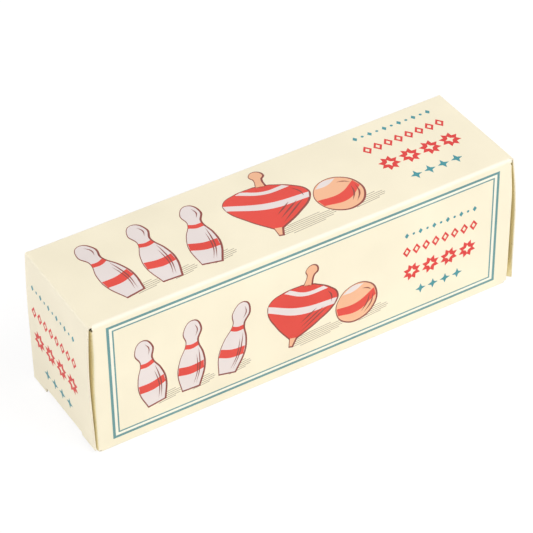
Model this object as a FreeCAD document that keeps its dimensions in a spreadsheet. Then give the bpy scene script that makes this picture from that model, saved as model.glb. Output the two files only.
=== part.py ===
"""A blow ball pipe packed in its folding carton.

The carton is one printed sheet of card, folded into a tube and glued along its
back.  Each end closes with a panel hinged on the top wall, whose tuck flap slides
in over the bottom wall, behind two dust flaps.  Inside lies the toy: a turned
wooden pipe whose bowl carries a ring on three posts over an air nozzle, and two
light balls.

Frame: millimetres, +Z up, +X along the carton, its front wall on the -Y side, and
the origin under the middle of the carton, on the surface that it lies on.
"""
import FreeCAD, Part
import os
import Sketcher

SIZES = {
    # Carton: outside sizes, and the thickness of its card.
    "carton_length": 165.0,
    "carton_width": 45.0,
    "carton_height": 55.0,
    "board": 0.5,
    "crease_round": 0.45,
    # Open slits between folded panels, and between a closure and the wall ends.
    "fold_gap": 0.05,
    "end_gap": 0.2,
    # Closure panels: narrower than the carton, with cut corners and low shoulders.
    "closure_inset": 0.35,
    "closure_corner": 1.2,
    "shoulder_drop": 1.2,
    # Tuck flaps: the fold is only this wide, because a slit frees each of its ends.
    "tuck_rise": 1.1,
    "tuck_length": 13.5,
    "tuck_fold": 26.0,
    "tuck_side_gap": 0.8,
    "tuck_slit": 0.4,
    "tuck_corner": 7.0,
    # Dust flaps: cut back at the top so that they swing clear of the closure.
    "dust_length": 15.0,
    "dust_top_gap": 1.6,
    "dust_drop": 14.0,
    "dust_bottom_gap": 0.4,
    "dust_bottom_cut": 2.0,
    "dust_corner": 3.0,
    # Glue flap: the strip on the bottom wall's back edge, glued inside the back wall.
    "glue_width": 12.0,
    "glue_taper": 5.0,
    "glue_end_gap": 2.0,
    # Pipe bowl: a cup under a wide brim, turned in one piece.
    "cup_diameter": 23.4,
    "cup_height": 18.0,
    "cup_round": 4.0,
    "brim_diameter": 38.6,
    "brim_height": 7.2,
    "brim_round": 2.2,
    "brim_neck_round": 1.5,
    # Seat ring on its three posts; the ball is wider than the hole.
    "ring_diameter": 39.4,
    "ring_hole": 23.0,
    "ring_height": 6.5,
    "ring_round": 2.2,
    "ring_seat": 1.5,
    "post_diameter": 4.5,
    "post_circle": 29.2,
    "post_height": 7.3,
    "post_seat": 2.5,
    "post_count": 3,
    # Air nozzle in the middle of the brim, and the air way through the pipe.
    "nozzle_diameter": 7.3,
    "nozzle_height": 5.3,
    "nozzle_tip": 4.6,
    "nozzle_tenon": 5.0,
    "nozzle_seat": 4.0,
    "nozzle_bore": 2.4,
    "air_way": 3.4,
    # Stem: its axis above the cup's base, and its reach from the bowl's axis.
    "stem_diameter": 10.0,
    "stem_axis": 11.0,
    "stem_reach": 109.5,
    "stem_seat": 5.0,
    "mouth_length": 14.0,
    "mouth_diameter": 8.4,
    "mouth_round": 2.0,
    # Balls, and how loosely everything lies.
    "ball_diameter": 30.0,
    "ball_play": 8.0,
    "turned_fit": 0.03,
    "loose_gap": 0.3,
    "head_gap": 1.3,
    # How far a cutting shape stands past the face that it cuts.
    "overrun": 1.0,
}

# Places worked out from the sizes above, as expressions of the sheet.
END_X = "size.carton_length / 2"
SIDE_Y = "size.carton_width / 2"
WALL_END_X = f"({END_X} - size.board - size.end_gap)"
TUCK_BASE_Z = "(size.board + size.tuck_rise)"
TUCK_TOP_Z = f"({TUCK_BASE_Z} + size.board)"
HEAD_X = f"({END_X} - size.board - size.tuck_length - size.head_gap - size.cup_diameter / 2)"
CUP_Z = "(size.board + size.loose_gap)"
BRIM_TOP = "(size.cup_height + size.brim_height)"
RING_BASE = f"({BRIM_TOP} + size.post_height)"
BALL_Z = f"({CUP_Z} + size.stem_axis + size.stem_diameter / 2 + size.ball_diameter / 2 + size.loose_gap)"
BALL_A_X = f"({HEAD_X} - size.ring_diameter / 2 - size.ball_diameter / 2 - size.loose_gap)"
BALL_B_X = f"({BALL_A_X} - size.ball_diameter - size.loose_gap - size.ball_play)"

doc = FreeCAD.newDocument("blow_ball_pipe")
sheet = doc.addObject("Spreadsheet::Sheet", "size")
for row, (alias, value) in enumerate(SIZES.items(), start=1):
    sheet.set(f"A{row}", alias)
    sheet.set(f"B{row}", str(value))
    sheet.setAlias(f"B{row}", alias)
doc.recompute()

nodes = []


def number(expression):
    """The value of an expression of the sheet, as a plain number."""
    value = sheet.evalExpression(expression)
    return float(getattr(value, "Value", value))


def new_body(label, base):
    """A body placed at three expressions, which is one node of the part."""
    body = doc.addObject("PartDesign::Body", label)
    body.Label = label
    for axis, expression in zip("xyz", base):
        body.setExpression(f"Placement.Base.{axis}", expression)
    nodes.append(body)
    return body


def new_sketch(body, role, height=None):
    """A sketch in one of the body's own planes, lifted along its normal by an expression."""
    plane = next(item for item in body.Origin.OriginFeatures if item.Role == role)
    sketch = body.newObject("Sketcher::SketchObject", f"{body.Name}_sketch")
    sketch.AttachmentSupport = [(plane, "")]
    sketch.MapMode = "FlatFace"
    if height is not None:
        sketch.setExpression("AttachmentOffset.Base.z", height)
    return sketch


def bind_point(sketch, line, end, corner):
    """Ties one end of a sketch line to its two coordinates, given as expressions."""
    for kind, expression in zip(("DistanceX", "DistanceY"), corner):
        value = number(expression)
        constraint = Sketcher.Constraint(kind, -1, 1, line, end, value)
        index = sketch.addConstraint(constraint)
        sketch.setExpression(f"Constraints[{index}]", expression)


def draw_outline(sketch, corners):
    """A closed outline of straight lines with a corner at each pair of expressions."""
    places = [FreeCAD.Vector(number(u), number(v), 0) for u, v in corners]
    count = len(places)
    for i in range(count):
        sketch.addGeometry(Part.LineSegment(places[i], places[(i + 1) % count]), False)
    for i in range(count):
        sketch.addConstraint(Sketcher.Constraint("Coincident", i, 2, (i + 1) % count, 1))
        bind_point(sketch, i, 1, corners[i])


def draw_circle(sketch, corner, diameter):
    """A circle with its centre at two expressions and its diameter at a third."""
    centre = FreeCAD.Vector(number(corner[0]), number(corner[1]), 0)
    normal = FreeCAD.Vector(0, 0, 1)
    line = sketch.addGeometry(Part.Circle(centre, normal, number(diameter) / 2), False)
    bind_point(sketch, line, 3, corner)
    index = sketch.addConstraint(Sketcher.Constraint("Diameter", line, number(diameter)))
    sketch.setExpression(f"Constraints[{index}]", diameter)


def pad(body, sketch, length):
    """The sketch grown along its plane's normal."""
    feature = body.newObject("PartDesign::Pad", f"{body.Name}_pad")
    feature.Profile = sketch
    feature.setExpression("Length", length)
    sketch.Visibility = False
    doc.recompute()
    return feature


def pocket(body, sketch, length, forward):
    """The sketch cut out of the body, along its plane's normal when forward is true, else against it."""
    before = body.Shape.Volume
    feature = body.newObject("PartDesign::Pocket", f"{body.Name}_pocket")
    feature.Profile = sketch
    feature.setExpression("Length", length)
    feature.Reversed = forward
    doc.recompute()
    if body.Shape.Volume >= before:
        raise ValueError(f"{body.Label}: a pocket cuts nothing")
    return feature


def revolve(body, sketch, axis):
    """The sketch turned once round its own horizontal or vertical axis."""
    feature = body.newObject("PartDesign::Revolution", f"{body.Name}_turned")
    feature.Profile = sketch
    feature.ReferenceAxis = (sketch, [axis])
    feature.Angle = 360
    doc.recompute()
    return feature


def round_edges(body, radius, wanted):
    """Rounds each edge of the body for which wanted(edge) is true."""
    base = body.Tip
    names = [f"Edge{i}" for i, edge in enumerate(base.Shape.Edges, start=1) if wanted(edge)]
    feature = body.newObject("PartDesign::Fillet", f"{body.Name}_round")
    feature.Base = (base, names)
    feature.setExpression("Radius", radius)
    doc.recompute()
    return feature


def ring_edge(radius, height):
    """A test for a whole round edge about Z, of a radius and at a height given as expressions."""
    wanted_radius = number(radius)
    wanted_height = number(height)

    def test(edge):
        curve = edge.Curve
        if not isinstance(curve, Part.Circle):
            return False
        same_radius = abs(curve.Radius - wanted_radius) < Part.Precision.confusion() * 10
        same_height = abs(curve.Center.z - wanted_height) < Part.Precision.confusion() * 10
        return same_radius and same_height

    return test


def corner_edge(axes, corners):
    """A test for straight edges that pass through one of the corners, seen along the third axis."""
    places = [(number(u), number(v)) for u, v in corners]

    def test(edge):
        ends = [vertex.Point for vertex in edge.Vertexes]
        if len(ends) != 2:
            return False
        for place in places:
            offsets = [abs(getattr(end, axis) - value) for end in ends for axis, value in zip(axes, place)]
            if max(offsets) < Part.Precision.confusion() * 10:
                return True
        return False

    return test


def carton_wall(label, length, corners, rounded):
    """A wall of the carton tube: its section across the carton, run along X, with its creases rounded."""
    body = new_body(label, (f"-({length}) / 2", "0", "0"))
    sketch = new_sketch(body, "YZ_Plane")
    draw_outline(sketch, corners)
    pad(body, sketch, length)
    if rounded:
        round_edges(body, "size.crease_round", corner_edge("yz", rounded))


def make_walls():
    """The tube: the top wall runs the carton's whole length, because both closures hang from it."""
    short = f"2 * {WALL_END_X}"
    top = "size.carton_height"
    under_top = "(size.carton_height - size.board)"
    inside_y = f"({SIDE_Y} - size.board)"
    top_outline = [(f"-{SIDE_Y}", under_top), (SIDE_Y, under_top), (SIDE_Y, top), (f"-{SIDE_Y}", top)]
    carton_wall("top_wall", "size.carton_length", top_outline, top_outline[2:])
    base_outline = [(f"-{SIDE_Y}", "0"), (SIDE_Y, "0"), (SIDE_Y, "size.board"), (f"-{SIDE_Y}", "size.board")]
    carton_wall("bottom_wall", short, base_outline, base_outline[:2])
    for label, side in (("front_wall", "-"), ("back_wall", "")):
        outer = f"{side}{SIDE_Y}"
        inner = f"{side}{inside_y}"
        side_outline = [(outer, "size.board"), (inner, "size.board"), (inner, under_top), (outer, under_top)]
        carton_wall(label, short, side_outline, [])


def make_glue_flap():
    """The glue flap: a strip with cut ends that stands on the bottom wall, flat against the back wall."""
    body = new_body("glue_flap", ("0", f"{SIDE_Y} - size.board", "size.board"))
    sketch = new_sketch(body, "XZ_Plane")
    half = f"({WALL_END_X} - size.glue_end_gap)"
    narrow = f"({half} - size.glue_taper)"
    corners = [(f"-{half}", "0"), (half, "0"), (narrow, "size.glue_width"), (f"-{narrow}", "size.glue_width")]
    draw_outline(sketch, corners)
    pad(body, sketch, "size.board")


def make_closure(end, sign):
    """A closure panel: it hangs from the top wall's end and covers the ends of the other walls."""
    base_x = f"-{END_X}" if sign < 0 else f"{END_X} - size.board"
    body = new_body(f"{end}_closure_panel", (base_x, "0", "0"))
    sketch = new_sketch(body, "YZ_Plane")
    wide = f"({SIDE_Y} - size.closure_inset)"
    hinge = f"({wide} - size.closure_corner)"
    fold = "size.tuck_fold / 2"
    top = "(size.carton_height - size.board - size.fold_gap)"
    cut = f"({top} - size.closure_corner)"
    shoulder = f"({TUCK_BASE_Z} - size.shoulder_drop)"
    half = [(fold, TUCK_BASE_Z), (fold, shoulder), (wide, shoulder), (wide, cut), (hinge, top)]
    mirrored = [(f"-{y}", z) for y, z in reversed(half)]
    draw_outline(sketch, half + mirrored)
    pad(body, sketch, "size.board")


def make_tuck_flap(end, sign):
    """A tuck flap: it folds in from the closure's lower edge and lies just above the bottom wall."""
    body = new_body(f"{end}_tuck_flap", ("0", "0", TUCK_BASE_Z))
    sketch = new_sketch(body, "XY_Plane")
    wide = f"({SIDE_Y} - size.board - size.tuck_side_gap)"
    fold = "size.tuck_fold / 2"
    crease = f"({END_X} - size.board)"
    slit = f"({crease} - size.tuck_slit)"
    free = f"({crease} - size.tuck_length)"
    half = [(crease, fold), (slit, fold), (slit, wide), (free, wide)]
    mirrored = [(x, f"-{y}") for x, y in reversed(half)]
    corners = half + mirrored
    if sign < 0:
        corners = [(f"-{x}", y) for x, y in corners]
    draw_outline(sketch, corners)
    pad(body, sketch, "size.board")
    round_edges(body, "size.tuck_corner", corner_edge("xy", corners[3:5]))


def make_dust_flap(end, sign, face, side):
    """A dust flap: it folds in from the end of the front or back wall, behind the closure."""
    base_x = f"-{WALL_END_X}" if sign < 0 else f"{WALL_END_X} - size.board"
    body = new_body(f"{end}_{face}_dust_flap", (base_x, "0", "0"))
    sketch = new_sketch(body, "YZ_Plane")
    hinge = f"({SIDE_Y} - size.board - size.fold_gap)"
    free = f"({hinge} - size.dust_length)"
    top = "(size.carton_height - size.board - size.dust_top_gap)"
    base = f"({TUCK_TOP_Z} + size.dust_bottom_gap)"
    corners = [
        (hinge, base),
        (hinge, top),
        (free, f"({top} - size.dust_drop)"),
        (free, f"({base} + size.dust_bottom_cut)"),
    ]
    if side < 0:
        corners = [(f"-{y}", z) for y, z in corners]
    draw_outline(sketch, corners)
    pad(body, sketch, "size.board")
    round_edges(body, "size.dust_corner", corner_edge("yz", corners[2:]))


def pipe_body(label):
    """A body whose origin is on the bowl's axis, at the cup's base."""
    return new_body(label, (HEAD_X, "0", CUP_Z))


def make_post_holes(body, height, forward):
    """Blind holes for the posts, on their circle, cut from a face at this height."""
    sketch = new_sketch(body, "XY_Plane", height)
    draw_circle(sketch, ("size.post_circle / 2", "0"), "size.post_diameter + 2 * size.turned_fit")
    hole = pocket(body, sketch, "size.post_seat", forward)
    holes = body.newObject("PartDesign::PolarPattern", f"{body.Name}_post_holes")
    holes.Originals = [hole]
    holes.Axis = (sketch, ["N_Axis"])
    holes.Angle = 360
    holes.setExpression("Occurrences", "size.post_count")
    body.Tip = holes
    doc.recompute()


def make_bowl():
    """The bowl: turned cup and brim, drilled down the middle and from the side, with a socket for the stem."""
    body = pipe_body("pipe_bowl")
    cup = "size.cup_diameter / 2"
    brim = "size.brim_diameter / 2"
    tenon = "(size.nozzle_tenon / 2 + size.turned_fit)"
    way = "size.air_way / 2"
    seat = f"({BRIM_TOP} - size.nozzle_seat)"
    profile = new_sketch(body, "XZ_Plane")
    corners = [
        ("0", "0"),
        (cup, "0"),
        (cup, "size.cup_height"),
        (brim, "size.cup_height"),
        (brim, BRIM_TOP),
        (tenon, BRIM_TOP),
        (tenon, seat),
        (way, seat),
        (way, "size.stem_axis"),
        ("0", "size.stem_axis"),
    ]
    draw_outline(profile, corners)
    revolve(body, profile, "V_Axis")
    round_edges(body, "size.cup_round", ring_edge(cup, "0"))
    round_edges(body, "size.brim_neck_round", ring_edge(cup, "size.cup_height"))
    round_edges(body, "size.brim_round", ring_edge(brim, "size.cup_height"))
    round_edges(body, "size.brim_round", ring_edge(brim, BRIM_TOP))
    socket = new_sketch(body, "YZ_Plane", f"-({cup} + size.overrun)")
    draw_circle(socket, ("0", "size.stem_axis"), "size.stem_diameter + 2 * size.turned_fit")
    pocket(body, socket, "size.stem_seat + size.overrun", True)
    air = new_sketch(body, "YZ_Plane", f"-({cup} + size.overrun)")
    draw_circle(air, ("0", "size.stem_axis"), "size.air_way")
    pocket(body, air, f"{cup} + size.overrun", True)
    make_post_holes(body, BRIM_TOP, False)


def make_stem():
    """The stem: a turned rod with the air way bored through it and a slimmer, rounded mouth end."""
    body = new_body("pipe_stem", (HEAD_X, "0", f"{CUP_Z} + size.stem_axis"))
    profile = new_sketch(body, "XZ_Plane")
    root = "-(size.cup_diameter / 2 - size.stem_seat + size.turned_fit)"
    tip = "-size.stem_reach"
    way = "size.air_way / 2"
    outer = "size.stem_diameter / 2"
    mouth = "size.mouth_diameter / 2"
    corners = [
        (root, way),
        (root, outer),
        (f"{tip} + size.mouth_length", outer),
        (tip, mouth),
        (tip, way),
    ]
    draw_outline(profile, corners)
    revolve(body, profile, "H_Axis")
    tip_x = number(tip)
    mouth_radius = number(mouth)

    def at_mouth(edge):
        curve = edge.Curve
        return (
            isinstance(curve, Part.Circle)
            and abs(curve.Center.x - tip_x) < Part.Precision.confusion() * 10
            and abs(curve.Radius - mouth_radius) < Part.Precision.confusion() * 10
        )

    round_edges(body, "size.mouth_round", at_mouth)


def make_ring():
    """The seat ring: a turned ring with rounded edges and a bevelled seat for the ball."""
    body = new_body("seat_ring", (HEAD_X, "0", f"{CUP_Z} + {RING_BASE}"))
    outer = "size.ring_diameter / 2"
    hole = "size.ring_hole / 2"
    profile = new_sketch(body, "XZ_Plane")
    corners = [
        (hole, "0"),
        (outer, "0"),
        (outer, "size.ring_height"),
        (f"{hole} + size.ring_seat", "size.ring_height"),
        (hole, "size.ring_height - size.ring_seat"),
    ]
    draw_outline(profile, corners)
    revolve(body, profile, "V_Axis")
    round_edges(body, "size.ring_round", ring_edge(outer, "0"))
    round_edges(body, "size.ring_round", ring_edge(outer, "size.ring_height"))
    make_post_holes(body, "0", True)


def make_nozzle():
    """The air nozzle: a turned peg with a tapered top, bored through, its tenon in the brim."""
    body = new_body("air_nozzle", (HEAD_X, "0", f"{CUP_Z} + {BRIM_TOP}"))
    bore = "size.nozzle_bore / 2"
    tenon = "size.nozzle_tenon / 2"
    outer = "size.nozzle_diameter / 2"
    tip = "size.nozzle_tip / 2"
    root = "-(size.nozzle_seat - size.turned_fit)"
    shoulder = f"(size.nozzle_height - ({outer} - {tip}))"
    profile = new_sketch(body, "XZ_Plane")
    corners = [
        (bore, root),
        (tenon, root),
        (tenon, "0"),
        (outer, "0"),
        (outer, shoulder),
        (tip, "size.nozzle_height"),
        (bore, "size.nozzle_height"),
    ]
    draw_outline(profile, corners)
    revolve(body, profile, "V_Axis")


def make_posts():
    """The posts: plain dowels, one over the side away from the stem and two over the stem's side."""
    count = int(number("size.post_count"))
    for i in range(count):
        turn = f"({i} * 360 deg / size.post_count)"
        post = doc.addObject("Part::Cylinder", f"ring_post_{i + 1}")
        post.Label = f"ring_post_{i + 1}"
        post.setExpression("Radius", "size.post_diameter / 2")
        post.setExpression("Height", "size.post_height + 2 * (size.post_seat - size.turned_fit)")
        post.setExpression("Placement.Base.x", f"{HEAD_X} + size.post_circle / 2 * cos({turn})")
        post.setExpression("Placement.Base.y", f"size.post_circle / 2 * sin({turn})")
        post.setExpression("Placement.Base.z", f"{CUP_Z} + {BRIM_TOP} - size.post_seat + size.turned_fit")
        nodes.append(post)


def make_balls():
    """The balls: both rest on the stem, one beside the seat ring and one before it."""
    for label, centre_x in (("ball_a", BALL_A_X), ("ball_b", BALL_B_X)):
        ball = doc.addObject("Part::Sphere", label)
        ball.Label = label
        ball.setExpression("Radius", "size.ball_diameter / 2")
        ball.setExpression("Placement.Base.x", centre_x)
        ball.setExpression("Placement.Base.z", BALL_Z)
        nodes.append(ball)


make_walls()
make_glue_flap()
for end, sign in (("left", -1), ("right", 1)):
    make_closure(end, sign)
    make_tuck_flap(end, sign)
    for face, side in (("front", -1), ("back", 1)):
        make_dust_flap(end, sign, face, side)
make_bowl()
make_stem()
make_ring()
make_nozzle()
make_posts()
make_balls()
doc.recompute()

for item in doc.Objects:
    if "Invalid" in item.State or "Error" in item.State:
        raise ValueError(f"{item.Label} did not rebuild: {item.State}")
for node in nodes:
    if node.Shape.isNull() or not node.Shape.isValid() or len(node.Shape.Solids) != 1:
        raise ValueError(f"{node.Label} is not one valid solid")

os.makedirs("parts", exist_ok=True)
for node in nodes:
    node.Shape.exportStep(f"parts/{node.Label}.step")
    box = node.Shape.BoundBox
    print(f"{node.Label}: {node.Shape.Volume:.2f} mm3, x {box.XMin:.2f}..{box.XMax:.2f},"
          f" y {box.YMin:.2f}..{box.YMax:.2f}, z {box.ZMin:.2f}..{box.ZMax:.2f}")
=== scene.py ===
import math

import bmesh
import bpy
from mathutils import Matrix, Vector


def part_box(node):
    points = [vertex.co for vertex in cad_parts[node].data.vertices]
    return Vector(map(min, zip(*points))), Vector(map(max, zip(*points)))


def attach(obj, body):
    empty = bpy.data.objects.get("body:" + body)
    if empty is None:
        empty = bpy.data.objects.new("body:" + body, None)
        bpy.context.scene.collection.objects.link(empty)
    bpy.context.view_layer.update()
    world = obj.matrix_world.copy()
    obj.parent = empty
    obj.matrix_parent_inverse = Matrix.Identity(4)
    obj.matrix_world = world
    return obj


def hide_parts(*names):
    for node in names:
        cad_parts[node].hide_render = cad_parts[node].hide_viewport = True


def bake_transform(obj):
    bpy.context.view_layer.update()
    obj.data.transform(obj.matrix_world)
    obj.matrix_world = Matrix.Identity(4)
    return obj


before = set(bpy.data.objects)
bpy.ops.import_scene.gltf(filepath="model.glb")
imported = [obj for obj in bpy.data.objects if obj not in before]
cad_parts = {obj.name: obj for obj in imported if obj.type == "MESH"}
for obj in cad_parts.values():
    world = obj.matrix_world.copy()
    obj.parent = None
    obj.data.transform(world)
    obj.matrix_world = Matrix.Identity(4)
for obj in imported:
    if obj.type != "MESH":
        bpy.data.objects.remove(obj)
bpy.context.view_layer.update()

# The camera stands where the photograph was taken: a long lens, about 31 degrees round to the carton's
# left and 40 degrees above the table, leaning a little. The carton's length sets how far off it is.
BACK_LOW, BACK_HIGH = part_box("top_wall")
LENGTH = BACK_HIGH.x - BACK_LOW.x
TOP_Z = BACK_HIGH.z
CAMERA_AZIMUTH = math.radians(-30.79)
CAMERA_ELEVATION = math.radians(39.84)
CAMERA_ROLL = math.radians(-0.879)
CAMERA_DISTANCE = 5.238 * LENGTH
CAMERA_ASIDE = 0.0178 * LENGTH
CAMERA_RAISED = 0.0027 * LENGTH
LENS_MM, SENSOR_MM = 170.7, 36

towards_camera = Vector(
    (
        math.sin(CAMERA_AZIMUTH) * math.cos(CAMERA_ELEVATION),
        -math.cos(CAMERA_AZIMUTH) * math.cos(CAMERA_ELEVATION),
        math.sin(CAMERA_ELEVATION),
    )
)
level_right = (-towards_camera).cross(Vector((0, 0, 1))).normalized()
level_up = level_right.cross(-towards_camera)
right = math.cos(CAMERA_ROLL) * level_right + math.sin(CAMERA_ROLL) * level_up
up = math.cos(CAMERA_ROLL) * level_up - math.sin(CAMERA_ROLL) * level_right
place = Vector((0, 0, TOP_Z / 2)) - right * CAMERA_ASIDE + up * CAMERA_RAISED
place += towards_camera * CAMERA_DISTANCE
camera_data = bpy.data.cameras.new("photo_camera")
camera_data.lens = LENS_MM
camera_data.sensor_width = SENSOR_MM
camera = bpy.data.objects.new("photo_camera", camera_data)
camera.matrix_world = Matrix.Translation(place) @ Matrix((right, up, towards_camera)).transposed().to_4x4()
bpy.context.scene.collection.objects.link(camera)
bpy.context.scene.camera = camera

# The sleeve is the carton's front, top, back and bottom walls: one sheet of half-millimetre board, creased
# into a tube and glued down inside the back wall. It is printed cream and varnished outside and plain
# inside.
# Its creases, of which the one between front and top is the softest, are painted a little lighter and
# whiter: partly wear, partly a painted highlight that stands in for the varnish's sheen on the bend.
MM = 0.001
BOARD = BACK_HIGH.z - BACK_LOW.z
SIDE_Y = BACK_HIGH.y
END_X = BACK_HIGH.x
CREASE_ROUND, SOFT_ROUND = 0.95 * MM, 1.5 * MM
CREASE_STEPS, CREASE_FULLNESS = 7, 0.6
CREASE_STRIP = 0.7 * MM
CORNER_REACH = 0.4 * MM
SLEEVE_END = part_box("front_wall")[1].x - CREASE_STRIP
SWELL_TOP, SWELL_SIDE = 0.5 * MM, 0.16 * MM
SLEEVE_COLUMNS, SWELL_COLUMNS, SWELL_ROWS = 32, 11, 13
WALL_EDGE = 10 * MM
LIFT, LIFT_CORNER, LIFT_REACH = 0.55 * MM, 2 * MM, 52 * MM
NEAR, CLOSE_BY = 0.01 * MM, 0.1 * MM
ALIGNED = 0.99
REAL_EDGE = math.radians(40)
NOISE_MIDDLE = (0.3, 0.7)
# The fourth finish is the lighter crease card: partly wear, partly a painted highlight.
PRINTED, PLAIN, CUT, WORN_AND_SHEEN = range(4)
WORN_AND_SHEEN_TURN = 0.1


def linear(red, green, blue):
    """A colour as a screen shows it, 0 to 255, turned into the light that a shader works with."""
    shares = [v / 255 for v in (red, green, blue)]
    return tuple(s / 12.92 if s < 0.04 else ((s + 0.055) / 1.055) ** 2.4 for s in shares) + (1.0,)


def dimmed(colour, share):
    """A share of a colour's brightness, as the light that a shader works with."""
    return linear(*[v * share for v in colour])


def add_node(tree, kind, values=(), **settings):
    """Adds one shader node, with its settings and the values of its sockets."""
    made = tree.nodes.new("ShaderNode" + kind)
    for name, value in settings.items():
        setattr(made, name, value)
    for socket, value in dict(values).items():
        made.inputs[socket].default_value = value
    return made


def new_finish(name, **values):
    """A material with a plain shader, whose even values are set on the shader itself."""
    finish = bpy.data.materials.new(name)
    finish.use_nodes = True
    shader = finish.node_tree.nodes["Principled BSDF"]
    for socket, value in values.items():
        shader.inputs[socket.replace("_", " ")].default_value = value
    return finish


def grain_noise(finish, scale, stretch=(1, 1, 1), detail=3.0):
    """Noise fixed to the piece, so many grains to the metre, drawn out along an axis by a small stretch."""
    tree = finish.node_tree
    where = add_node(tree, "TexCoord")
    turn = add_node(tree, "Mapping", {"Scale": stretch})
    noise = add_node(tree, "TexNoise", {"Scale": scale, "Detail": detail})
    tree.links.new(where.outputs["Object"], turn.inputs["Vector"])
    tree.links.new(turn.outputs["Vector"], noise.inputs["Vector"])
    return noise.outputs["Fac"]


def spread(finish, source, low, high, to_low=0.0, to_high=1.0):
    """Stretches the part of a pattern from low to high over a new range."""
    ends = {"From Min": low, "From Max": high, "To Min": to_low, "To Max": to_high}
    made = add_node(finish.node_tree, "MapRange", ends)
    finish.node_tree.links.new(source, made.inputs["Value"])
    return made.outputs["Result"]


def tint(finish, share, first, second):
    """Mixes two colours, or patterns of colour, by a pattern."""
    mix = add_node(finish.node_tree, "Mix", data_type="RGBA")
    finish.node_tree.links.new(share, mix.inputs["Factor"])
    for socket, colour in ((6, first), (7, second)):
        if isinstance(colour, bpy.types.NodeSocket):
            finish.node_tree.links.new(colour, mix.inputs[socket])
        else:
            mix.inputs[socket].default_value = colour
    return mix.outputs[2]


def wire(finish, **patterns):
    """Joins patterns to the shader's sockets."""
    shader = finish.node_tree.nodes["Principled BSDF"]
    for socket, pattern in patterns.items():
        finish.node_tree.links.new(pattern, shader.inputs[socket.replace("_", " ")])


def raise_grain(finish, pattern, depth, strength):
    """Lets a pattern stand up from the surface by a depth in metres."""
    bump = add_node(finish.node_tree, "Bump", {"Strength": strength, "Distance": depth})
    finish.node_tree.links.new(pattern, bump.inputs["Height"])
    wire(finish, Normal=bump.outputs["Normal"])


def varnished_print(name, colour, drift=5):
    """Ink or tinted card under thin satin varnish: even, with a faint drift and the board's fibres."""
    finish = new_finish(name, Roughness=0.46, Coat_Weight=0.35, Coat_Roughness=0.3, Specular_IOR_Level=0.4)
    cloud = grain_noise(finish, 38.0, detail=2.0)
    fibre = grain_noise(finish, 2600.0, stretch=(0.28, 1, 1), detail=4.0)
    darker = linear(*[v - drift for v in colour])
    lighter = linear(*[min(255, v + drift * 0.4) for v in colour])
    even = tint(finish, spread(finish, cloud, *NOISE_MIDDLE), darker, lighter)
    speck = tint(finish, spread(finish, fibre, 0.62, 0.8, 0.0, 0.16), even, dimmed(colour, 0.9))
    wire(finish, Base_Color=speck, Roughness=spread(finish, fibre, *NOISE_MIDDLE, 0.42, 0.5))
    raise_grain(finish, fibre, 0.012 * MM, 0.6)
    return finish


def raw_board(name, colour, flecks):
    """Board with no ink on it: matt, with soft clouds of tone, short fibres and darker flecks."""
    finish = new_finish(name, Roughness=0.9, Specular_IOR_Level=0.2)
    cloud = grain_noise(finish, 90.0)
    fibre = grain_noise(finish, 1500.0, stretch=(0.22, 1, 1), detail=5.0)
    fleck = grain_noise(finish, 900.0, stretch=(0.5, 1, 1), detail=1.0)
    darker = linear(*[v - 9 for v in colour])
    even = tint(finish, spread(finish, cloud, *NOISE_MIDDLE), darker, linear(*colour))
    woven = tint(finish, spread(finish, fibre, 0.4, 0.75, 0.0, 0.35), even, dimmed(colour, 0.86))
    wire(finish, Base_Color=tint(finish, spread(finish, fleck, 0.7, 0.76, 0.0, 0.5), woven, linear(*flecks)))
    raise_grain(finish, fibre, 0.05 * MM, 0.7)
    return finish


def choose(piece):
    """Selects one piece and nothing else."""
    bpy.ops.object.select_all(action="DESELECT")
    piece.select_set(True)
    bpy.context.view_layer.objects.active = piece


def edit(piece):
    """Opens one piece for modelling."""
    choose(piece)
    bpy.ops.object.mode_set(mode="EDIT")


def start_block(name, low, high):
    """Starts a piece as a block between two corners, with its origin at the frame's, and opens it."""
    bpy.ops.object.select_all(action="DESELECT")
    bpy.ops.mesh.primitive_cube_add(size=1)
    piece = bpy.context.object
    piece.name = piece.data.name = name
    edit(piece)
    bpy.ops.mesh.select_all(action="SELECT")
    low, high = Vector(low), Vector(high)
    bpy.ops.transform.resize(value=high - low)
    bpy.ops.transform.translate(value=(low + high) / 2)
    return piece


def middle(part):
    """The middle point of a vertex, edge or face."""
    corners = [part.co] if isinstance(part, bmesh.types.BMVert) else [v.co for v in part.verts]
    return sum(corners, Vector()) / len(corners)


def pick(kind, test):
    """Selects the open piece's vertices, edges or faces that pass a test of their place or direction."""
    bpy.ops.mesh.select_mode(type=kind)
    bpy.ops.mesh.select_all(action="DESELECT")
    mesh = bmesh.from_edit_mesh(bpy.context.object.data)
    for part in {"VERT": mesh.verts, "EDGE": mesh.edges, "FACE": mesh.faces}[kind]:
        if test(part):
            part.select_set(True)
    mesh.select_flush_mode()
    bmesh.update_edit_mesh(bpy.context.object.data)


def runs_along(edge, axis):
    """Whether an edge runs along an axis, 0 to 2."""
    run = edge.verts[1].co - edge.verts[0].co
    return abs(run[axis]) > ALIGNED * run.length


def close(piece, *finishes):
    """Leaves modelling, shades the piece smooth up to its real edges, and gives it its finishes."""
    bpy.ops.object.mode_set(mode="OBJECT")
    bpy.ops.object.shade_smooth_by_angle(angle=REAL_EDGE)
    for finish in finishes:
        piece.data.materials.append(finish)


def apply_modifier(piece, kind, name, **settings):
    """Gives the chosen piece a modifier with its settings, and applies it."""
    modifier = piece.modifiers.new(name, kind)
    for setting, value in settings.items():
        setattr(modifier, setting, value)
    bpy.ops.object.modifier_apply(modifier=modifier.name)


def make_board(piece):
    """Gives a sheet the board's thickness, inwards from its print, with a plain inside and cut edges."""
    sides = {"material_offset": PLAIN, "material_offset_rim": CUT}
    apply_modifier(piece, "SOLIDIFY", "board", thickness=BOARD, offset=-1, use_even_offset=True, **sides)
    bpy.ops.object.shade_smooth_by_angle(angle=REAL_EDGE)


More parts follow.
